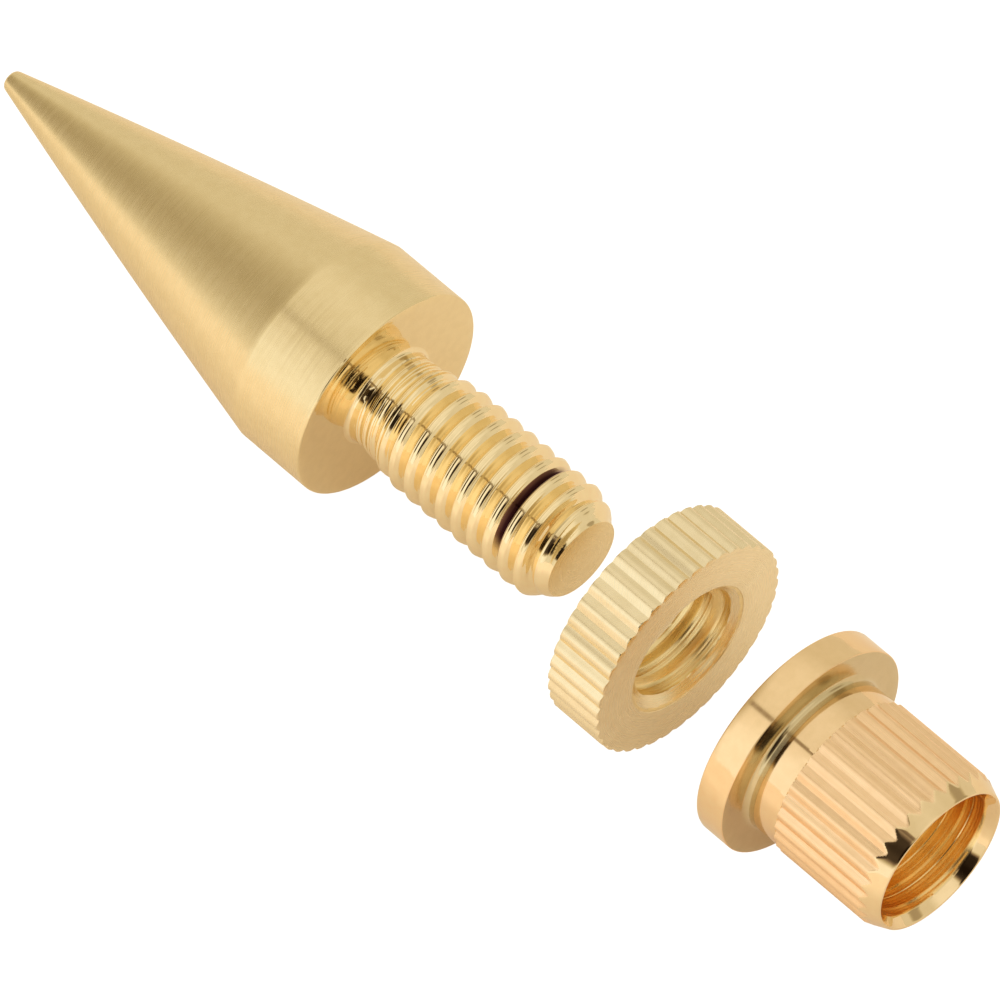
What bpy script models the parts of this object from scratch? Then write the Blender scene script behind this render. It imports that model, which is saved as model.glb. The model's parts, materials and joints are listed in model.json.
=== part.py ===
"""Brass isolation spike for a loudspeaker or a stand, laid out apart on one axis.

Three turned pieces lie on their rims along +X: a spike with a threaded stud, a knurled lock nut
that runs on the stud, and a flanged insert, knurled so that it grips the hole it is pressed into.
The origin is on the surface that they lie on, below the middle of the row of pieces.
"""

import math

import bmesh
import bpy

MM = 0.001

# Spike: a pointed body with a short band at its wide end, and a stud that starts with a plain neck.
BODY_LENGTH = 24.8 * MM
BODY_RADIUS = 5.5 * MM
BAND_LENGTH = 4.1 * MM
TIP_RADIUS = 0.5 * MM
TIP_FLAT_RADIUS = 0.25 * MM
TIP_SHOULDER_RADIUS = 0.45 * MM
TIP_SHOULDER_LENGTH = 0.35 * MM
CONE_BULGE = 0.1 * MM
STUD_LENGTH = 12.5 * MM
STUD_END_RADIUS = 2.05 * MM
STUD_CHAMFER_LENGTH = 1.4 * MM
NECK_RADIUS = 2.45 * MM
NECK_LENGTH = 0.4 * MM

# Thread: an M6 x 1 stud, and bores that clear its crests all round.
PITCH = 1.0 * MM
CREST_RADIUS = 2.94 * MM
THREAD_DEPTH = 0.56 * MM
THREAD_RUN_IN = 3.2 * PITCH
BORE_RADIUS = 3.1 * MM
BORE_CHAMFER = 0.25 * MM

# Lock nut.
NUT_RADIUS = 5.7 * MM
NUT_THICKNESS = 3.1 * MM
NUT_FLUTES = 40
FLUTE_DEPTH = 0.18 * MM

# Insert: a flange, a groove, a plain collar, and a knurled barrel with a tapered nose.
FLANGE_RADIUS = 5.5 * MM
FLANGE_THICKNESS = 1.6 * MM
BARREL_LENGTH = 8.0 * MM
GROOVE_RADIUS = 3.93 * MM
GROOVE_LENGTH = 0.5 * MM
COLLAR_RADIUS = 4.05 * MM
COLLAR_LENGTH = 1.35 * MM
KNURL_RADIUS = 4.15 * MM
KNURL_TEETH = 32
KNURL_DEPTH = 0.15 * MM
NOSE_RADIUS = 3.75 * MM
NOSE_LENGTH = 0.95 * MM

# The shoulder and the flange bear on their outer rings. Each face is dished a little nearer the axis,
# from this far outside the thread or the knurl that passes through its mate.
SEAT_CLEARANCE = 0.15 * MM
SEAT_DISH = 0.05 * MM

# Layout: clear distances along the axis between one piece and the next. They leave the nut 16 whole
# pitches before it meets the shoulder, and the insert 6 more before it meets the nut.
STUD_TO_NUT = 3.65 * MM
NUT_TO_INSERT = 6.05 * MM

# Finish of the edges, and how finely each round is divided. The odd number of steps puts a flat of
# the band, and not a corner, against the surface.
EDGE_BREAK = 0.12 * MM
WELD = 0.001 * MM
SPIKE_STEPS = 33
STEPS_PER_TOOTH = 3
THREAD_ROWS_PER_PITCH = 5
CONE_ROWS = 6
SHARP_ANGLE = math.radians(30)

AXIS_HEIGHT = NUT_RADIUS
SPIKE_LENGTH = BODY_LENGTH + STUD_LENGTH
INSERT_LENGTH = FLANGE_THICKNESS + BARREL_LENGTH
ROW_LENGTH = SPIKE_LENGTH + STUD_TO_NUT + NUT_THICKNESS + NUT_TO_INSERT + INSERT_LENGTH
SHOULDER_X = BODY_LENGTH - ROW_LENGTH / 2
NUT_X = SHOULDER_X + STUD_LENGTH + STUD_TO_NUT
INSERT_X = NUT_X + NUT_THICKNESS + NUT_TO_INSERT

SATIN_BRASS = {"color": (0.80, 0.63, 0.33, 1.0), "roughness": 0.28}
PALE_BRASS = {"color": (0.86, 0.74, 0.49, 1.0), "roughness": 0.24}
WARM_BRASS = {"color": (0.89, 0.65, 0.37, 1.0), "roughness": 0.18}


def clear_scene():
    for obj in list(bpy.data.objects):
        bpy.data.objects.remove(obj)


def brass(name, finish):
    material = bpy.data.materials.new(name)
    material.use_nodes = True
    shader = material.node_tree.nodes["Principled BSDF"]
    shader.inputs["Base Color"].default_value = finish["color"]
    shader.inputs["Roughness"].default_value = finish["roughness"]
    shader.inputs["Metallic"].default_value = 1.0
    material.diffuse_color = finish["color"]
    return material


def turned(profile, steps, closed=False):
    """A bmesh turned about X from (x, radius) points. A closed profile makes a ring, an open one a solid."""
    mesh = bmesh.new()
    points = [mesh.verts.new((x, 0.0, radius)) for x, radius in profile]
    following = points[1:] + points[:1] if closed else points[1:]
    edges = [mesh.edges.new(pair) for pair in zip(points, following)]
    bmesh.ops.spin(
        mesh,
        geom=points + edges,
        cent=(0.0, 0.0, 0.0),
        axis=(1.0, 0.0, 0.0),
        angle=math.tau,
        steps=steps,
        use_merge=True,
    )
    bmesh.ops.remove_doubles(mesh, verts=mesh.verts, dist=WELD)
    bmesh.ops.recalc_face_normals(mesh, faces=mesh.faces)
    return mesh


def form(mesh, radius_at):
    """Moves each vertex in or out to radius_at(x, radius, angle), as knurling and thread rolling do."""
    for vertex in mesh.verts:
        x, y, z = vertex.co
        radius = math.hypot(y, z)
        if radius > WELD:
            scale = radius_at(x, radius, math.atan2(y, z)) / radius
            vertex.co = (x, y * scale, z * scale)


def place(name, mesh, x, material):
    """Makes the piece an object whose origin is on the common axis, at x."""
    data = bpy.data.meshes.new(name)
    mesh.to_mesh(data)
    mesh.free()
    data.materials.append(material)
    data.shade_smooth()
    data.set_sharp_from_angle(angle=SHARP_ANGLE)
    piece = bpy.data.objects.new(name, data)
    piece.location = (x, 0.0, AXIS_HEIGHT)
    bpy.context.scene.collection.objects.link(piece)
    return piece


def evenly(start, end, count):
    """The count points after start, evenly spaced, the last of them at end."""
    return [start + (end - start) * step / count for step in range(1, count + 1)]


def cone_profile():
    """From the tip to the band, with a slight bulge on the straight taper between them."""
    tip_x = TIP_RADIUS - BODY_LENGTH
    band_x = -BAND_LENGTH
    points = [
        (-BODY_LENGTH, 0.0),
        (-BODY_LENGTH, TIP_FLAT_RADIUS),
        (TIP_SHOULDER_LENGTH - BODY_LENGTH, TIP_SHOULDER_RADIUS),
    ]
    for share in evenly(0.0, 1.0, CONE_ROWS):
        bulge = CONE_BULGE * 4 * share * (1 - share)
        radius = TIP_RADIUS + (BODY_RADIUS - TIP_RADIUS) * share + bulge
        points.append((tip_x + (band_x - tip_x) * share, radius))
    return points


def stud_profile():
    """From the shoulder's rim to the end of the stud, at the thread's crests."""
    chamfer_x = STUD_LENGTH - STUD_CHAMFER_LENGTH
    rows = round((chamfer_x - NECK_LENGTH) / PITCH * THREAD_ROWS_PER_PITCH)
    points = [
        (-EDGE_BREAK, BODY_RADIUS),
        (0.0, BODY_RADIUS - EDGE_BREAK),
        (0.0, CREST_RADIUS + SEAT_CLEARANCE),
        (-SEAT_DISH, NECK_RADIUS),
        (NECK_LENGTH, NECK_RADIUS),
    ]
    points += [(x, CREST_RADIUS) for x in evenly(NECK_LENGTH, chamfer_x, rows)]
    for share in evenly(0.0, 1.0, THREAD_ROWS_PER_PITCH):
        radius = CREST_RADIUS + (STUD_END_RADIUS - CREST_RADIUS) * share
        points.append((chamfer_x + STUD_CHAMFER_LENGTH * share, radius))
    return points + [(STUD_LENGTH, 0.0)]


def thread_radius(x, radius, angle):
    """A right-hand thread that rises out of the neck and is cut off by the end's chamfer."""
    if x <= NECK_LENGTH + WELD or x >= STUD_LENGTH - WELD:
        return radius
    risen = min(1.0, (x - NECK_LENGTH) / THREAD_RUN_IN)
    wave = 0.5 + 0.5 * math.cos(math.tau * x / PITCH + angle)
    root_radius = CREST_RADIUS - THREAD_DEPTH
    threaded = root_radius + THREAD_DEPTH * wave
    return min(radius, NECK_RADIUS + (threaded - NECK_RADIUS) * risen)


def make_spike():
    mesh = turned(cone_profile() + stud_profile(), SPIKE_STEPS)
    form(mesh, thread_radius)
    return place("spike", mesh, SHOULDER_X, brass("satin_brass", SATIN_BRASS))


def toothed(outer_radius, depth, teeth, start_x=-math.inf, end_x=math.inf):
    """A radius_at for form: grooves between teeth, one step wide, on the outside from start_x to end_x."""

    def radius_at(x, radius, angle):
        on_outside = radius > outer_radius - depth and start_x - WELD < x < end_x + WELD
        step = round(angle / math.tau * teeth * STEPS_PER_TOOTH) % STEPS_PER_TOOTH
        return radius - depth if on_outside and step == 0 else radius

    return radius_at


def make_lock_nut():
    end = NUT_THICKNESS
    mouth = BORE_RADIUS + BORE_CHAMFER
    profile = [
        (0.0, NUT_RADIUS - EDGE_BREAK),
        (EDGE_BREAK, NUT_RADIUS),
        (end - EDGE_BREAK, NUT_RADIUS),
        (end, NUT_RADIUS - EDGE_BREAK),
        (end, mouth),
        (end - BORE_CHAMFER, BORE_RADIUS),
        (BORE_CHAMFER, BORE_RADIUS),
        (0.0, mouth),
    ]
    mesh = turned(profile, NUT_FLUTES * STEPS_PER_TOOTH, closed=True)
    form(mesh, toothed(NUT_RADIUS, FLUTE_DEPTH, NUT_FLUTES))
    return place("lock_nut", mesh, NUT_X, brass("pale_brass", PALE_BRASS))


def make_threaded_insert():
    flange_end = FLANGE_THICKNESS
    collar_start = flange_end + GROOVE_LENGTH
    knurl_start = collar_start + COLLAR_LENGTH
    end = INSERT_LENGTH
    nose_start = end - NOSE_LENGTH
    mouth = BORE_RADIUS + BORE_CHAMFER
    profile = [
        (0.0, FLANGE_RADIUS - EDGE_BREAK),
        (EDGE_BREAK, FLANGE_RADIUS),
        (flange_end - EDGE_BREAK, FLANGE_RADIUS),
        (flange_end, FLANGE_RADIUS - EDGE_BREAK),
        (flange_end, KNURL_RADIUS + SEAT_CLEARANCE),
        (flange_end - SEAT_DISH, GROOVE_RADIUS),
        (collar_start, GROOVE_RADIUS),
        (collar_start, COLLAR_RADIUS),
        (knurl_start, COLLAR_RADIUS),
        (knurl_start + EDGE_BREAK, KNURL_RADIUS),
        (nose_start, KNURL_RADIUS),
        (end, NOSE_RADIUS),
        (end, mouth),
        (end - BORE_CHAMFER, BORE_RADIUS),
        (BORE_CHAMFER, BORE_RADIUS),
        (0.0, mouth),
    ]
    mesh = turned(profile, KNURL_TEETH * STEPS_PER_TOOTH, closed=True)
    knurl = toothed(KNURL_RADIUS, KNURL_DEPTH, KNURL_TEETH, knurl_start + EDGE_BREAK, nose_start)
    form(mesh, knurl)
    return place("threaded_insert", mesh, INSERT_X, brass("warm_brass", WARM_BRASS))


clear_scene()
make_spike()
make_lock_nut()
make_threaded_insert()
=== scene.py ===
"""The looks of the brass isolation spike: three turned pieces in detail, a light tent and a camera."""

import json
import math

import bpy
import numpy as np
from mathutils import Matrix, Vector


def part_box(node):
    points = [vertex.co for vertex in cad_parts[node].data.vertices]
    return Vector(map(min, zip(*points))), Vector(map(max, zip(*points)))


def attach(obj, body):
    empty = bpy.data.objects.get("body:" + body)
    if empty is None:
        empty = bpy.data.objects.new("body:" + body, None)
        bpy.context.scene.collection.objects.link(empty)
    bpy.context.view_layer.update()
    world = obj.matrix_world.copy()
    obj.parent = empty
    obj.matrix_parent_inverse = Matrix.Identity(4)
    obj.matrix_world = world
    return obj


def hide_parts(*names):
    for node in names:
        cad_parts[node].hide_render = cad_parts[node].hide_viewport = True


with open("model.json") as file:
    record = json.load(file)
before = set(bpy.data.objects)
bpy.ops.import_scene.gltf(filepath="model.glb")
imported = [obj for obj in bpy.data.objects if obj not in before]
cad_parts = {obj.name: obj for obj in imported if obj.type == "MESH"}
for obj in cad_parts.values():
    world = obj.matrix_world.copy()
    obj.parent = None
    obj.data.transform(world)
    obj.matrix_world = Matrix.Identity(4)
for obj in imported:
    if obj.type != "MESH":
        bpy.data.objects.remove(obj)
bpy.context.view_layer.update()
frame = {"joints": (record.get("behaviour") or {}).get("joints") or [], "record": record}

MM = 0.001
TURN = math.tau

# Where the pieces are, from the frame.
MOUNT_X = {mount["name"]: mount["pos_m"][0] for mount in frame["record"]["mounts"]}
SHOULDER_X = MOUNT_X["shoulder"]
FLANGE_SEAT_X = MOUNT_X["flange_seat"]
SPIKE_LOW, SPIKE_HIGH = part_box("spike")
NUT_LOW, NUT_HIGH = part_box("lock_nut")
INSERT_LOW, INSERT_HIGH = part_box("threaded_insert")
AXIS_HEIGHT = (NUT_LOW.z + NUT_HIGH.z) / 2

# Each thread starts where its crest faces up. The bores mesh with the stud at the end of their travel.
TRAVEL = {joint["name"]: joint["range_m"][1] for joint in frame["joints"]}
STUD_START_X = SHOULDER_X
NUT_START_X = STUD_START_X + TRAVEL["nut_travel"]
INSERT_START_X = NUT_START_X + TRAVEL["insert_travel"]

# Spike.
BODY_RADIUS = (SPIKE_HIGH.y - SPIKE_LOW.y) / 2
BAND_LENGTH = 4.1 * MM
CONE_BULGE = 0.1 * MM
TIP_RADIUS = 0.5 * MM
BAND_X = SHOULDER_X - BAND_LENGTH
NECK_RADIUS = 2.45 * MM
NECK_LENGTH = 0.4 * MM
NECK_FILLET = 0.22 * MM
NECK_END_X = SHOULDER_X + NECK_LENGTH
STUD_END_RADIUS = 2.05 * MM
STUD_CHAMFER_LENGTH = 1.4 * MM
STUD_CHAMFER_POWER = 1.25

# Thread, the same helix on the stud and in both bores.
PITCH = 1.0 * MM
CREST_RADIUS = 2.94 * MM
THREAD_DEPTH = 0.56 * MM
THREAD_STEPS = 24
THREAD_STEP = PITCH / THREAD_STEPS
THREAD_RUN_IN = 3.2 * PITCH
CREST_POWER = 0.95
ROLLING_SEED = 5
ROLLING_MARKS = np.random.default_rng(ROLLING_SEED).uniform(0, 1, THREAD_STEPS)
STUD_MARK_DEPTH = 0.044 * MM
BORE_MARK_DEPTH = 0.017 * MM
THREAD_CLEARANCE = 0.09 * MM
BORE_ROOT_RADIUS = CREST_RADIUS + THREAD_CLEARANCE
BORE_CREST_RADIUS = 2.55 * MM
BORE_CREST_POWER = 2.4

# Lock nut.
NUT_RADIUS = (NUT_HIGH.z - NUT_LOW.z) / 2
NUT_FLUTES = 40
FLUTE_DEPTH = 0.18 * MM
FLUTE_POWER = 1.35
NUT_MOUTH_RADIUS = 3.45 * MM
NUT_MOUTH_SLOPE = 1.15
MOUTH_MARGIN = 0.01 * MM

# Insert.
FLANGE_RADIUS = (INSERT_HIGH.z - INSERT_LOW.z) / 2
GROOVE_RADIUS = 4.0 * MM
GROOVE_LENGTH = 0.5 * MM
GROOVE_FILLET = 0.3 * MM
COLLAR_RADIUS = 4.05 * MM
COLLAR_LENGTH = 1.35 * MM
COLLAR_X = FLANGE_SEAT_X + GROOVE_LENGTH
KNURL_X = COLLAR_X + COLLAR_LENGTH
KNURL_RADIUS = 4.15 * MM
KNURL_TEETH = 32
KNURL_DEPTH = 0.15 * MM
KNURL_LAND = 0.06
KNURL_ROUNDING = 0.55
KNURL_RUN_OUT = 0.025 * MM
NOSE_RADIUS = 3.75 * MM
NOSE_LENGTH = 0.95 * MM
NOSE_X = INSERT_HIGH.x - NOSE_LENGTH
NOSE_MOUTH_RADIUS = 3.66 * MM
NOSE_MOUTH_DEPTH = 0.48 * MM
THROAT_X = INSERT_HIGH.x - NOSE_MOUTH_DEPTH
THROAT_RADIUS = 3.36 * MM
THROAT_SLOPE = 0.09
THROAT_CREST_HEIGHT = 0.035 * MM
FLANGE_MOUTH_RADIUS = 3.4 * MM
FLANGE_MOUTH_SLOPE = 1.0

# Edges, and how finely each surface is divided.
EDGE = 0.1 * MM
FINE_EDGE = 0.05 * MM
WELD = 0.001 * MM
NEARLY_ZERO = 1e-6
ARC_STEPS = 3
ARC_STEP = 0.07 * MM
SPIKE_COLUMNS = 8 * THREAD_STEPS
COLUMNS_PER_FLUTE = 10
COLUMNS_PER_TOOTH = 10
BAND_STEP = 0.05 * MM
CONE_STEP = 0.3 * MM
NOSE_STEP = 0.1 * MM
PLAIN_STEP = 0.4 * MM
SHARP_ANGLE = math.radians(26)

# Fine ridges that the tool has left round the band, one for each of its rows.
TURNING_SEED = 7
TURNING_COUNT = math.ceil(BAND_LENGTH / BAND_STEP)
TURNING_DEPTH = 0.0025 * MM
TURNING_RIDGES = np.random.default_rng(TURNING_SEED).uniform(-1, 1, TURNING_COUNT)

# A face belongs to a piece's end, flat side or nose where its normal points along the axis by this much.
END_FACING = 0.98
SIDE_FACING = 0.9
NOSE_FACING = 0.2

# Camera: where it looks from, and where the shoulder's centre lies from the middle of the view.
CAMERA_AZIMUTH = math.radians(45.9)
CAMERA_ELEVATION = math.radians(54.69)
CAMERA_LENS = 432
CAMERA_SENSOR = 36
CAMERA_DISTANCE = 537.7 * MM
SHOULDER_LEFT = 5.09 * MM
SHOULDER_UP = 4.69 * MM


def rounded(corners):
    """The outline through (x, radius, fillet) corners, each corner with a fillet turned into an arc."""
    points = []
    for index, (x, radius, fillet) in enumerate(corners):
        here = Vector((x, radius))
        if not fillet:
            points.append(here)
            continue
        before = (Vector(corners[index - 1][:2]) - here).normalized()
        after = (Vector(corners[(index + 1) % len(corners)][:2]) - here).normalized()
        half = before.angle(after) / 2
        reach = fillet / math.tan(half)
        centre = here + (before + after).normalized() * fillet / math.sin(half)
        start = here + before * reach - centre
        end = here + after * reach - centre
        steps = max(ARC_STEPS, math.ceil(fillet / ARC_STEP))
        for step in range(steps + 1):
            share = step / steps
            arm = start.slerp(end, share) if start.angle(end) > NEARLY_ZERO else start
            points.append(centre + arm.normalized() * fillet)
    return points


def divided(outline, step_at):
    """The outline with a point at least every step_at(x) along it."""
    points = []
    for start, end in zip(outline, outline[1:]):
        middle = (start + end) / 2
        count = max(1, math.ceil((end - start).length / step_at(middle.x) - NEARLY_ZERO))
        points += [start.lerp(end, number / count) for number in range(count)]
    return points + [outline[-1]]


def thread_rows(low, high, radius, start_x):
    """Outline points one thread step apart between low and high, so that roots and crests lie on them.

    Their rows lean by half a thread step each way, and another half is kept clear of both ends.
    """
    first = math.ceil((low - start_x) / THREAD_STEP + 1.5)
    last = math.floor((high - start_x) / THREAD_STEP - 0.5)
    return [Vector((start_x + (number - 0.5) * THREAD_STEP, radius)) for number in range(first, last + 1)]


def lathed(name, outline, columns, shape_at, thread_radius, closed):
    """A piece turned about the common axis. shape_at(x, radius, angle) gives its radius everywhere.

    A closed outline makes a ring. Rows at thread_radius follow the helix: they lean back by one row at
    each thread step round the turn, where the quads are split along the helix.
    """
    angles = np.arange(columns) * TURN / columns
    rows = np.array([tuple(point) for point in outline])
    if not closed:
        poles = rows[[0, -1], 0]
        rows = rows[1:-1]
    on_thread = np.abs(rows[:, 1] - thread_radius) < WELD
    steps = np.arange(columns + 1) * THREAD_STEPS / columns
    lean = (steps % 1)[:-1] - 0.5
    splits = np.floor(steps[1:]) > np.floor(steps[:-1])
    xs = rows[:, :1] - THREAD_STEP * lean * on_thread[:, None]
    radii = shape_at(xs, np.repeat(rows[:, 1:], columns, axis=1), angles[None, :])
    places = [xs, radii * np.sin(angles), radii * np.cos(angles) + AXIS_HEIGHT]
    points = np.stack(places, axis=-1).reshape(-1, 3)
    count = len(rows)
    faces = []
    for row in range(count if closed else count - 1):
        beyond = (row + 1) % count
        helical = on_thread[row] and on_thread[beyond]
        for column in range(columns):
            beside = (column + 1) % columns
            here, ahead = row * columns + column, beyond * columns + column
            across, level = beyond * columns + beside, row * columns + beside
            if not (helical and splits[column]):
                faces.append((here, ahead, across, level))
            elif rows[beyond, 0] > rows[row, 0]:
                faces += [(here, ahead, level), (ahead, across, level)]
            else:
                faces += [(here, ahead, across), (here, across, level)]
    if not closed:
        points = np.vstack([points, [(x, 0.0, AXIS_HEIGHT) for x in poles]])
        tip, end = len(points) - 2, len(points) - 1
        last = (count - 1) * columns
        for number in range(columns):
            following = (number + 1) % columns
            faces.append((tip, number, following))
            faces.append((end, last + following, last + number))
    mesh = bpy.data.meshes.new(name)
    mesh.from_pydata(points.tolist(), [], faces)
    mesh.validate()
    mesh.shade_smooth()
    mesh.set_sharp_from_angle(angle=SHARP_ANGLE)
    piece = bpy.data.objects.new(name, mesh)
    bpy.context.scene.collection.objects.link(piece)
    return piece


def finish_by_zone(piece, finish_at):
    """Gives each face the brass that finish_at(x, radius, facing) names. facing is its normal's x."""
    slots = {}
    for face in piece.data.polygons:
        x, y, z = face.center
        name = finish_at(x, math.hypot(y, z - AXIS_HEIGHT), face.normal.x)
        if name not in slots:
            slots[name] = len(slots)
            piece.data.materials.append(brass(name, **FINISHES[name]))
        face.material_index = slots[name]


def helix(x, angle, start_x):
    """The thread's height, from 0 in a sharp root to 1 on a round crest, and its rolling marks, 0 to 1."""
    turns = (x - start_x) / PITCH + angle / TURN
    marks = ROLLING_MARKS[np.rint(turns * THREAD_STEPS).astype(int) % THREAD_STEPS]
    return np.abs(np.cos(math.pi * turns)) ** CREST_POWER, marks


def stud_radius(x, angle):
    """The stud's right-hand thread, which rises out of the neck and runs out over the end's chamfer."""
    rise = np.clip((x - NECK_END_X) / THREAD_RUN_IN, 0, 1)
    rise = rise * rise * (3 - 2 * rise)
    height, marks = helix(x, angle, STUD_START_X)
    along = np.clip((x - SPIKE_HIGH.x) / STUD_CHAMFER_LENGTH + 1, 0, 1)
    crest = CREST_RADIUS - (CREST_RADIUS - STUD_END_RADIUS) * along**STUD_CHAMFER_POWER
    threaded = crest - THREAD_DEPTH * (1 - height) * (1 - along)
    return NECK_RADIUS + (threaded - NECK_RADIUS) * rise - STUD_MARK_DEPTH * marks * (1 - along)


def opening(face_x, radius, slope, crest_height=0.0):
    """A cone that opens a bore at face_x. The thread's crests may still stand crest_height proud of it."""
    return lambda x, crest: radius - np.abs(x - face_x) * slope - crest_height * crest


def bore_radius(x, angle, start_x, openings):
    """A bore's thread, with sharp crests and broad roots that clear the stud's, and its openings."""
    height, marks = helix(x, angle, start_x)
    crest = (1 - height) ** BORE_CREST_POWER
    threaded = BORE_ROOT_RADIUS - (BORE_ROOT_RADIUS - BORE_CREST_RADIUS) * crest
    return np.maximum.reduce([threaded] + [cone(x, crest) for cone in openings]) - BORE_MARK_DEPTH * marks


def bore_rows(low, high, start_x):
    """The rows of a bore, from its high end back to its low end, as a ring's outline needs them."""
    return thread_rows(low + FINE_EDGE, high - FINE_EDGE, BORE_CREST_RADIUS, start_x)[::-1]


def body_radius(x, radius):
    """The spike's body: a slight bulge on the cone, and the tool's ridges round the band."""
    share = np.clip((x - SPIKE_LOW.x) / (BAND_X - SPIKE_LOW.x), 0, 1)
    bulged = radius + CONE_BULGE * 4 * share * (1 - share) * (radius > TIP_RADIUS)
    ridges = TURNING_RIDGES[((x - BAND_X) / BAND_STEP).astype(int) % TURNING_COUNT]
    on_band = (x > BAND_X + BAND_STEP) & (x < SHOULDER_X - EDGE)
    return np.where(on_band, radius + ridges * TURNING_DEPTH, bulged)


def fluted_radius(angle):
    """The nut's rim: rounded ridges, and narrower grooves between them."""
    across = np.abs(np.sin(angle * NUT_FLUTES / 2))
    return NUT_RADIUS - FLUTE_DEPTH * (1 - across**FLUTE_POWER)


def knurled_radius(x, angle):
    """The barrel's straight knurl: narrow lands and rounded grooves, cut in over a short run."""
    phase = np.abs((angle * KNURL_TEETH / TURN) % 1 - 0.5) * 2
    groove = np.clip((phase - KNURL_LAND) / (1 - KNURL_LAND), 0, 1)
    groove += (0.5 - np.cos(math.pi * groove) / 2 - groove) * KNURL_ROUNDING
    run = np.clip((x - KNURL_X) / KNURL_RUN_OUT, 0, 1)
    return KNURL_RADIUS - KNURL_DEPTH * groove * run


def make_spike():
    tip_x, end_x = SPIKE_LOW.x, SPIKE_HIGH.x
    body = [
        (tip_x, 0.0, 0.0),
        (tip_x, TIP_RADIUS, TIP_RADIUS / 2),
        (BAND_X, BODY_RADIUS, 0.0),
        (SHOULDER_X, BODY_RADIUS, EDGE),
        (SHOULDER_X, NECK_RADIUS, NECK_FILLET),
        (NECK_END_X, NECK_RADIUS, 0.0),
    ]
    end = [
        (end_x - FINE_EDGE, STUD_END_RADIUS + FINE_EDGE, 0.0),
        (end_x, STUD_END_RADIUS, FINE_EDGE / 2),
        (end_x, 0.0, 0.0),
    ]

    def step_at(x):
        if x < BAND_X:
            return CONE_STEP
        return BAND_STEP if x < SHOULDER_X else PLAIN_STEP

    def shape_at(x, radius, angle):
        return np.where(x > NECK_END_X, np.minimum(radius, stud_radius(x, angle)), body_radius(x, radius))

    def finish_at(x, radius, facing):
        if x < SHOULDER_X - EDGE:
            return "brass_turned_satin"
        if x < SHOULDER_X + WELD:
            return "brass_mirror_shoulder"
        at_end = facing > END_FACING and x > end_x - FINE_EDGE
        return "brass_faced_end" if at_end else "brass_polished_thread"

    outline = divided(rounded(body), step_at)
    outline += thread_rows(NECK_END_X, end_x - FINE_EDGE, CREST_RADIUS, STUD_START_X) + rounded(end)
    spike = lathed("spike_turned", outline, SPIKE_COLUMNS, shape_at, CREST_RADIUS, closed=False)
    finish_by_zone(spike, finish_at)
    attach(spike, "spike")
    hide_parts("spike")


def make_lock_nut():
    start_x, end_x = NUT_LOW.x, NUT_HIGH.x
    corners = [
        (start_x, NUT_MOUTH_RADIUS, FINE_EDGE),
        (start_x, NUT_RADIUS, EDGE),
        (end_x, NUT_RADIUS, EDGE),
        (end_x, NUT_MOUTH_RADIUS, FINE_EDGE),
    ]
    mouths = [opening(x, NUT_MOUTH_RADIUS, NUT_MOUTH_SLOPE) for x in (start_x, end_x)]

    def shape_at(x, radius, angle):
        outside = np.minimum(radius, fluted_radius(angle))
        return np.where(radius < BORE_ROOT_RADIUS, bore_radius(x, angle, NUT_START_X, mouths), outside)

    def finish_at(x, radius, facing):
        if radius > NUT_MOUTH_RADIUS:
            return "brass_pale_face" if abs(facing) > SIDE_FACING else "brass_pale_rim"
        on_mouth = radius < max(cone(x, 0.0) for cone in mouths) + MOUTH_MARGIN
        return "brass_pale_face" if on_mouth else "brass_nut_thread"

    outline = divided(rounded(corners), lambda x: PLAIN_STEP)
    outline += bore_rows(start_x, end_x, NUT_START_X)
    columns = NUT_FLUTES * COLUMNS_PER_FLUTE
    nut = lathed("lock_nut_knurled", outline, columns, shape_at, BORE_CREST_RADIUS, closed=True)
    finish_by_zone(nut, finish_at)
    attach(nut, "lock_nut")
    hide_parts("lock_nut")


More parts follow.
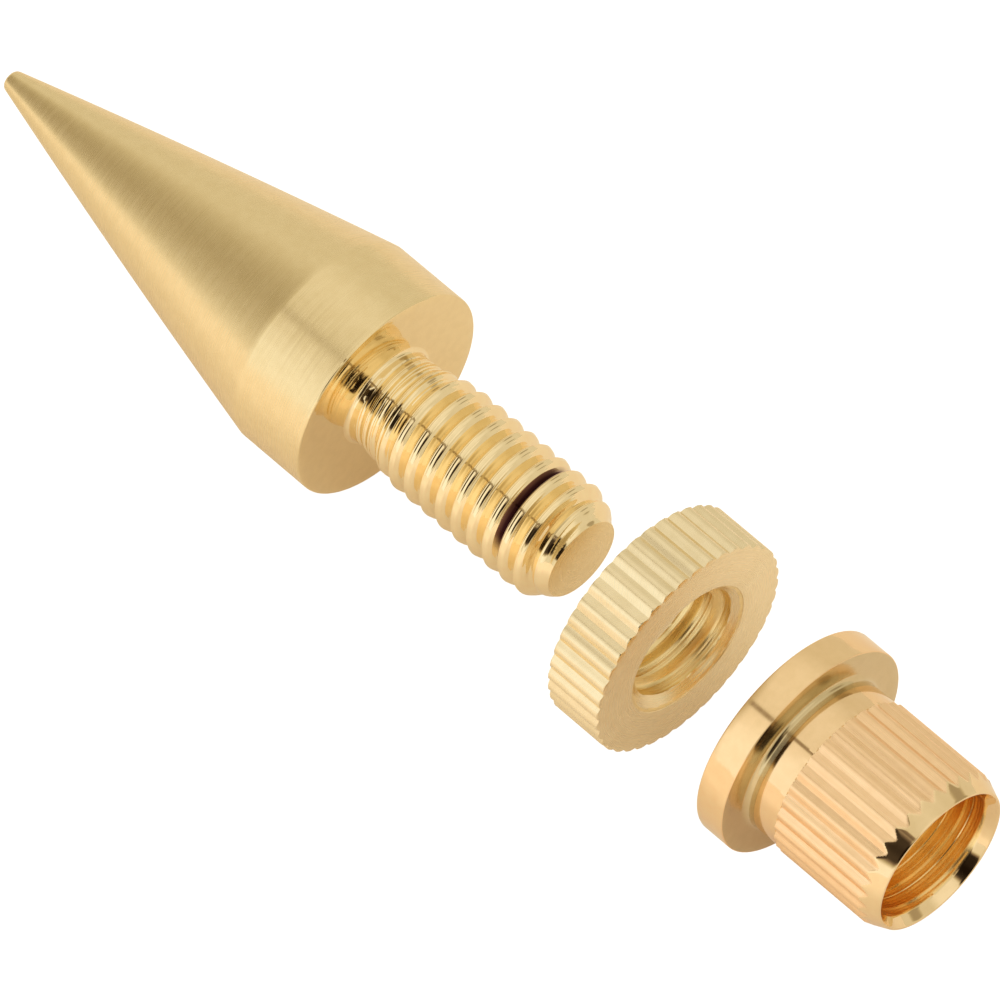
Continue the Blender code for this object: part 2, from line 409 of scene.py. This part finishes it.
def make_threaded_insert():
    start_x, end_x = INSERT_LOW.x, INSERT_HIGH.x
    corners = [
        (start_x, FLANGE_MOUTH_RADIUS, FINE_EDGE),
        (start_x, FLANGE_RADIUS, EDGE),
        (FLANGE_SEAT_X, FLANGE_RADIUS, FINE_EDGE),
        (FLANGE_SEAT_X, GROOVE_RADIUS, GROOVE_FILLET),
        (COLLAR_X, GROOVE_RADIUS, 0.0),
        (COLLAR_X + FINE_EDGE, COLLAR_RADIUS, FINE_EDGE / 4),
        (KNURL_X, COLLAR_RADIUS, 0.0),
        (KNURL_X + KNURL_RUN_OUT, KNURL_RADIUS, 0.0),
        (NOSE_X, KNURL_RADIUS, 0.0),
        (end_x, NOSE_RADIUS, FINE_EDGE),
        (end_x, NOSE_MOUTH_RADIUS, FINE_EDGE),
        (THROAT_X, THROAT_RADIUS, 0.0),
    ]
    openings = [
        opening(THROAT_X, THROAT_RADIUS, THROAT_SLOPE, THROAT_CREST_HEIGHT),
        opening(start_x, FLANGE_MOUTH_RADIUS, FLANGE_MOUTH_SLOPE),
    ]

    def step_at(x):
        return NOSE_STEP if x > NOSE_X else PLAIN_STEP

    def shape_at(x, radius, angle):
        outside = np.where(x > KNURL_X, np.minimum(radius, knurled_radius(x, angle)), radius)
        return np.where(radius < BORE_ROOT_RADIUS, bore_radius(x, angle, INSERT_START_X, openings), outside)

    def finish_at(x, radius, facing):
        if radius < NOSE_MOUTH_RADIUS:
            return "brass_warm_nose" if x > THROAT_X else "brass_warm_bore"
        if x < FLANGE_SEAT_X - FINE_EDGE:
            return "brass_warm_flange"
        if x < COLLAR_X and radius < FLANGE_RADIUS - FINE_EDGE:
            # The seat, whose darker brass colour is painted shade.
            return "brass_turned_seat"
        if x < KNURL_X:
            return "brass_warm_collar"
        return "brass_warm_nose" if facing > NOSE_FACING else "brass_warm_knurl"

    outline = divided(rounded(corners), step_at) + bore_rows(start_x, THROAT_X, INSERT_START_X)
    columns = KNURL_TEETH * COLUMNS_PER_TOOTH
    insert = lathed("threaded_insert_knurled", outline, columns, shape_at, BORE_CREST_RADIUS, closed=True)
    finish_by_zone(insert, finish_at)
    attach(insert, "threaded_insert")
    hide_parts("threaded_insert")


class Nodes:
    """Adds nodes to a tree and links them, so that a formula reads in the order it is worked out."""

    def __init__(self, tree):
        self.tree = tree

    def add(self, kind, **settings):
        node = self.tree.nodes.new(kind)
        for name, value in settings.items():
            setattr(node, name, value)
        return node

    def feed(self, socket, value):
        if isinstance(value, bpy.types.NodeSocket):
            self.tree.links.new(value, socket)
        else:
            socket.default_value = value

    def math(self, operation, *values):
        node = self.add("ShaderNodeMath", operation=operation)
        for socket, value in zip(node.inputs, values):
            self.feed(socket, value)
        return node.outputs[0]

    def smooth(self, value, low, high, to_low=0.0, to_high=1.0):
        """Runs smoothly from to_low to to_high as value goes from low to high."""
        node = self.add("ShaderNodeMapRange", interpolation_type="SMOOTHSTEP")
        for socket, given in zip(node.inputs, (value, low, high, to_low, to_high)):
            self.feed(socket, given)
        return node.outputs[0]

    def dot(self, vector, direction):
        node = self.add("ShaderNodeVectorMath", operation="DOT_PRODUCT")
        self.feed(node.inputs[0], vector)
        self.feed(node.inputs[1], tuple(direction))
        return node.outputs["Value"]

    def noise(self, place, scale, detail):
        node = self.add("ShaderNodeTexNoise")
        self.feed(node.inputs["Vector"], place)
        self.feed(node.inputs["Scale"], scale)
        self.feed(node.inputs["Detail"], detail)
        return node.outputs["Fac"]

    def vector(self, x, y, z):
        node = self.add("ShaderNodeCombineXYZ")
        for socket, value in zip(node.inputs, (x, y, z)):
            self.feed(socket, value)
        return node.outputs[0]

    def mix(self, share, first, second):
        node = self.add("ShaderNodeMix", data_type="RGBA")
        self.feed(node.inputs["Factor"], share)
        self.feed(node.inputs["A"], first)
        self.feed(node.inputs["B"], second)
        return node.outputs["Result"]


# Each finish: its colour, roughness and anisotropy, and how high its marks are and which way they run.
FINISHES = {
    "brass_turned_satin": dict(color=(0.88, 0.72, 0.42), roughness=0.29, anisotropy=0.5, marks=0.5),
    "brass_mirror_shoulder": dict(color=(0.88, 0.72, 0.42), roughness=0.07, anisotropy=0.0, marks=0.04),
    "brass_polished_thread": dict(
        color=(0.96, 0.80, 0.50), roughness=0.07, anisotropy=0.2, marks=1.4, run="helical", stained=True
    ),
    "brass_faced_end": dict(color=(0.90, 0.75, 0.46), roughness=0.3, anisotropy=0.0, marks=0.008),
    "brass_pale_rim": dict(color=(0.90, 0.77, 0.51), roughness=0.26, anisotropy=0.0, marks=0.03),
    "brass_pale_face": dict(color=(0.89, 0.76, 0.50), roughness=0.28, anisotropy=0.0, marks=0.012),
    "brass_nut_thread": dict(
        color=(0.90, 0.73, 0.39), roughness=0.3, anisotropy=0.4, marks=0.4, run="helical"
    ),
    "brass_warm_flange": dict(color=(0.92, 0.68, 0.39), roughness=0.12, anisotropy=0.3, marks=0.12),
    # The seat's darker colour is painted shade, standing in for the shaded floor and collar that the seat
    # reflects. Its turning marks are real ridges.
    "brass_turned_seat": dict(color=(0.69, 0.56, 0.33), roughness=0.16, anisotropy=0.4, marks=1.6),
    "brass_warm_collar": dict(color=(0.91, 0.67, 0.39), roughness=0.09, anisotropy=0.2, marks=0.12),
    "brass_warm_knurl": dict(
        color=(0.95, 0.68, 0.41), roughness=0.3, anisotropy=0.0, marks=1.0, run="lengthwise"
    ),
    "brass_warm_nose": dict(color=(0.93, 0.73, 0.44), roughness=0.06, anisotropy=0.2, marks=0.12),
    "brass_warm_bore": dict(
        color=(0.96, 0.73, 0.36), roughness=0.22, anisotropy=0.3, marks=0.3, run="helical"
    ),
}

# Turning marks and tarnish, in the sizes that a lathe and handling leave.
MARK_SPACING = 0.05 * MM
MARK_HEIGHT = 0.0012 * MM
MARK_SWEEP = 0.9
MARK_LENGTH = 3.0 * MM
MARK_DETAIL = 2.0
MARK_RANGE = (0.25, 0.75)
GLOSS_SPREAD = 0.18
MOTTLE_SIZE = 0.5 * MM
MOTTLE_DETAIL = 3.0
MOTTLE_RANGE = (0.3, 0.7)
PALE_SHADES = (1.015, 1.015, 1.015)
DEEP_SHADES = (0.98, 0.97, 0.945)
QUARTER_TURN = 0.25

# Stain in one root of the stud's thread, by its distance from the root and its angles in radians.
STAIN_FROM_END = 2.9 * MM
STAIN_COLOR = (0.16, 0.08, 0.08, 1.0)
STAIN_HALF = (0.14 * MM, 0.32 * MM)
STAIN_ANGLES = (-1.6, -1.1, 0.75, 1.3)


def stain_share(nodes, angle, helical_x):
    """Where heat has stained one root of the thread, on the side that faces up."""
    off_root = nodes.math("ABSOLUTE", nodes.math("SUBTRACT", helical_x, SPIKE_HIGH.x - STAIN_FROM_END))
    in_root = nodes.smooth(off_root, *STAIN_HALF, 1.0, 0.0)
    starts = nodes.smooth(angle, STAIN_ANGLES[0], STAIN_ANGLES[1])
    ends = nodes.smooth(angle, STAIN_ANGLES[2], STAIN_ANGLES[3], 1.0, 0.0)
    return nodes.math("MULTIPLY", in_root, nodes.math("MULTIPLY", starts, ends))


def turned_place(nodes):
    """A point's place in the frame, its x, its distance from the axis and its angle round it from above."""
    place = nodes.add("ShaderNodeTexCoord").outputs["Object"]
    split = nodes.add("ShaderNodeSeparateXYZ")
    nodes.feed(split.inputs[0], place)
    y = split.outputs["Y"]
    height = nodes.math("SUBTRACT", split.outputs["Z"], AXIS_HEIGHT)
    squares = [nodes.math("POWER", side, 2.0) for side in (y, height)]
    radius = nodes.math("SQRT", nodes.math("ADD", *squares))
    return place, split.outputs["X"], radius, nodes.math("ARCTAN2", y, height)


def mark_lines(nodes, run, x, radius, angle, helical_x):
    """Fine lines: noise drawn out round the axis, along the thread or lengthwise, as run says."""
    across = helical_x if run == "helical" else nodes.math("ADD", x, radius)
    across = nodes.math("DIVIDE", across, MARK_SPACING)
    along = nodes.math("MULTIPLY", angle, MARK_SWEEP)
    if run == "lengthwise":
        across = nodes.math("MULTIPLY", angle, KNURL_RADIUS / MARK_SPACING)
        along = nodes.math("DIVIDE", x, MARK_LENGTH)
    return nodes.noise(nodes.vector(across, along, 0.0), 1.0, MARK_DETAIL)


def shaded(color, shades):
    return tuple(min(1.0, channel * shade) for channel, shade in zip(color, shades)) + (1.0,)


def brass(name, color, roughness, anisotropy, marks, run="round", stained=False):
    """Turned brass whose tone drifts slowly, with marks that show in its gloss and as fine ridges."""
    material = bpy.data.materials.new(name)
    material.use_nodes = True
    nodes = Nodes(material.node_tree)
    place, x, radius, angle = turned_place(nodes)
    helical_x = nodes.math("ADD", x, nodes.math("MULTIPLY", angle, PITCH / TURN))
    lines = mark_lines(nodes, run, x, radius, angle, helical_x)
    mottle = nodes.noise(place, 1 / MOTTLE_SIZE, MOTTLE_DETAIL)
    mottle = nodes.smooth(mottle, *MOTTLE_RANGE)
    tone = nodes.mix(mottle, shaded(color, DEEP_SHADES), shaded(color, PALE_SHADES))
    if stained:
        tone = nodes.mix(stain_share(nodes, angle, helical_x), tone, STAIN_COLOR)
    glossiest, dullest = roughness * (1 - GLOSS_SPREAD), roughness * (1 + GLOSS_SPREAD)
    shader = material.node_tree.nodes["Principled BSDF"]
    nodes.feed(shader.inputs["Base Color"], tone)
    nodes.feed(shader.inputs["Roughness"], nodes.smooth(lines, *MARK_RANGE, glossiest, dullest))
    shader.inputs["Metallic"].default_value = 1.0
    shader.inputs["Anisotropic"].default_value = anisotropy
    shader.inputs["Anisotropic Rotation"].default_value = QUARTER_TURN
    tangent = nodes.add("ShaderNodeTangent", direction_type="RADIAL", axis="X")
    nodes.feed(shader.inputs["Tangent"], tangent.outputs[0])
    bump = nodes.add("ShaderNodeBump")
    bump.inputs["Distance"].default_value = MARK_HEIGHT * marks
    nodes.feed(bump.inputs["Height"], lines)
    nodes.feed(shader.inputs["Normal"], bump.outputs[0])
    return material


# Directions, in the frame. BACK points from the row to the camera. AXIS_UP is the part of it that is square
# to the axis, and SIDEWAYS is square to both.
BACK = Vector((
    math.sin(CAMERA_AZIMUTH) * math.cos(CAMERA_ELEVATION),
    -math.cos(CAMERA_AZIMUTH) * math.cos(CAMERA_ELEVATION),
    math.sin(CAMERA_ELEVATION),
))
ALONG = Vector((1.0, 0.0, 0.0))
AXIS_UP = (BACK - ALONG * BACK.dot(ALONG)).normalized()
SIDEWAYS = AXIS_UP.cross(ALONG)


def toward(along, turn):
    """The direction along degrees up from AXIS_UP towards +X, turned about X by turn degrees."""
    lean, swing = math.radians(along), math.radians(turn)
    level = AXIS_UP * math.cos(swing) + SIDEWAYS * math.sin(swing)
    return level * math.cos(lean) + ALONG * math.sin(lean)


# The tent's light, and its panels: (direction, angle where it is full, angle where it ends, light added).
TENT_LEVEL = 0.76
PANELS = (
    (toward(-10, -52), 14, 62, 0.36),
    (toward(-15, 30), 8, 48, 0.16),
    (toward(-60, 0), 8, 40, -0.34),
    (toward(-58, -72), 10, 34, -0.2),
    (toward(46, 34), 8, 26, 0.22),
)

# Dark patches in the same form, with the share of the light that each takes away.
DARK_PATCHES = (
    (toward(50, -10), 9, 15, 0.98),
    (toward(38, -26), 11, 18, 0.98),
    (toward(19, -24), 14, 26, 0.95),
    (toward(19, 89), 8, 14, 0.45),
)

# A dark slit straight above the axis: its half widths in degrees, its depth, and how high up it starts.
SLIT_HALF = (1.2, 3.0)
SLIT_DEPTH = 0.66
SLIT_RISE = (0.75, 0.9)

# The colour of each level of light.
TENT_TONES = (
    (0.0, (0.012, 0.007, 0.004)),
    (0.25, (0.27, 0.20, 0.14)),
    (0.50, (0.50, 0.43, 0.29)),
    (0.63, (0.64, 0.56, 0.40)),
    (0.80, (0.80, 0.74, 0.60)),
    (1.00, (1.00, 0.94, 0.82)),
    (1.20, (1.22, 1.22, 1.18)),
)


def make_tent():
    world = bpy.data.worlds.new("light_tent")
    bpy.context.scene.world = world
    world.use_nodes = True
    nodes = Nodes(world.node_tree)
    look = nodes.add("ShaderNodeTexCoord").outputs["Generated"]

    def cap(direction, inner, outer, gain):
        ends, full = math.cos(math.radians(outer)), math.cos(math.radians(inner))
        return nodes.smooth(nodes.dot(look, direction), ends, full, 0.0, gain)

    level = TENT_LEVEL
    for panel in PANELS:
        level = nodes.math("ADD", level, cap(*panel))
    off_slit = nodes.math("ABSOLUTE", nodes.dot(look, SIDEWAYS))
    edges = [math.sin(math.radians(half)) for half in SLIT_HALF]
    in_slit = nodes.smooth(off_slit, edges[0], edges[1], SLIT_DEPTH, 0.0)
    above = nodes.smooth(nodes.dot(look, AXIS_UP), *SLIT_RISE)
    slit = nodes.math("MULTIPLY", in_slit, above)
    level = nodes.math("MULTIPLY", level, nodes.math("SUBTRACT", 1.0, slit))
    for patch in DARK_PATCHES:
        level = nodes.math("MULTIPLY", level, nodes.math("SUBTRACT", 1.0, cap(*patch)))
    top = TENT_TONES[-1][0]
    ramp = nodes.add("ShaderNodeValToRGB")
    while len(ramp.color_ramp.elements) < len(TENT_TONES):
        ramp.color_ramp.elements.new(1.0)
    for element, (at, tone) in zip(ramp.color_ramp.elements, TENT_TONES):
        element.position = at / top
        element.color = tone + (1.0,)
    nodes.feed(ramp.inputs[0], nodes.math("DIVIDE", level, top))
    nodes.feed(world.node_tree.nodes["Background"].inputs["Color"], ramp.outputs[0])


# The floor, and how the brass sees it: (y where it starts to get lighter, y where it ends, light added).
# These rises paint the row's shadow into the glow of the floor that the brass reflects.
FLOOR_SIZE = 4.0
FLOOR_GAP = 0.05 * MM
SEEN_FLOOR_COLOR = (0.3, 0.3, 0.3)
SEEN_FLOOR_GLOW = 0.97
MIRRORED_FLOOR_COLOR = (0.93, 0.86, 0.75)
MIRRORED_FLOOR_GLOW = 0.14
GLOW_COLOR = (1.0, 0.88, 0.84)
PAINTED_SHADOW_GLOW_RISES = (
    (2 * MM, 10 * MM, 0.08),
    (-2 * MM, -10 * MM, 0.06),
    (-8 * MM, -25 * MM, 0.22),
)
GLOSSY_BOUNCES = 10


def make_floor(name, height):
    """A plane that casts no shadow and gives the brass no diffuse light, and its shader."""
    bpy.ops.mesh.primitive_plane_add(size=FLOOR_SIZE, location=(0.0, 0.0, height))
    floor = bpy.context.object
    floor.name = name
    material = bpy.data.materials.new(name)
    material.use_nodes = True
    shader = material.node_tree.nodes["Principled BSDF"]
    shader.inputs["Roughness"].default_value = 1.0
    shader.inputs["Specular IOR Level"].default_value = 0.0
    floor.data.materials.append(material)
    floor.visible_diffuse = False
    floor.visible_shadow = False
    return floor, shader


def make_seen_floor():
    """The pale surface that the camera sees, evenly lit as in a light tent."""
    floor, shader = make_floor("floor", 0.0)
    shader.inputs["Base Color"].default_value = SEEN_FLOOR_COLOR + (1.0,)
    shader.inputs["Emission Color"].default_value = (1.0, 1.0, 1.0, 1.0)
    shader.inputs["Emission Strength"].default_value = SEEN_FLOOR_GLOW
    floor.visible_glossy = False


def make_mirrored_floor():
    """The same surface as the brass reflects it: shaded by the row, with a glow painted darker near the row
    as a painted shadow, and brighter away from it.
    """
    floor, shader = make_floor("floor_in_reflections", -FLOOR_GAP)
    nodes = Nodes(floor.active_material.node_tree)
    split = nodes.add("ShaderNodeSeparateXYZ")
    nodes.feed(split.inputs[0], nodes.add("ShaderNodeTexCoord").outputs["Object"])
    light = MIRRORED_FLOOR_GLOW
    # The glow rises away from the row, so the low glow near it is a painted shadow of the row on the
    # reflected floor.
    for start, end, gain in PAINTED_SHADOW_GLOW_RISES:
        light = nodes.math("ADD", light, nodes.smooth(split.outputs["Y"], start, end, 0.0, gain))
    shader.inputs["Base Color"].default_value = MIRRORED_FLOOR_COLOR + (1.0,)
    shader.inputs["Emission Color"].default_value = GLOW_COLOR + (1.0,)
    nodes.feed(shader.inputs["Emission Strength"], light)
    floor.visible_camera = False


def make_camera():
    right = Vector((math.cos(CAMERA_AZIMUTH), math.sin(CAMERA_AZIMUTH), 0.0))
    up = BACK.cross(right)
    aim = Vector((SHOULDER_X, 0.0, AXIS_HEIGHT)) + right * SHOULDER_LEFT - up * SHOULDER_UP
    lens = bpy.data.cameras.new("camera")
    lens.lens = CAMERA_LENS
    lens.sensor_width = CAMERA_SENSOR
    camera = bpy.data.objects.new("camera", lens)
    camera.location = aim + BACK * CAMERA_DISTANCE
    camera.rotation_euler = BACK.to_track_quat("Z", "Y").to_euler()
    bpy.context.scene.collection.objects.link(camera)
    bpy.context.scene.camera = camera


make_camera()
make_spike()
make_lock_nut()
make_threaded_insert()
make_tent()
make_seen_floor()
make_mirrored_floor()
bpy.context.scene.view_settings.view_transform = "Standard"
bpy.context.scene.cycles.glossy_bounces = GLOSSY_BOUNCES
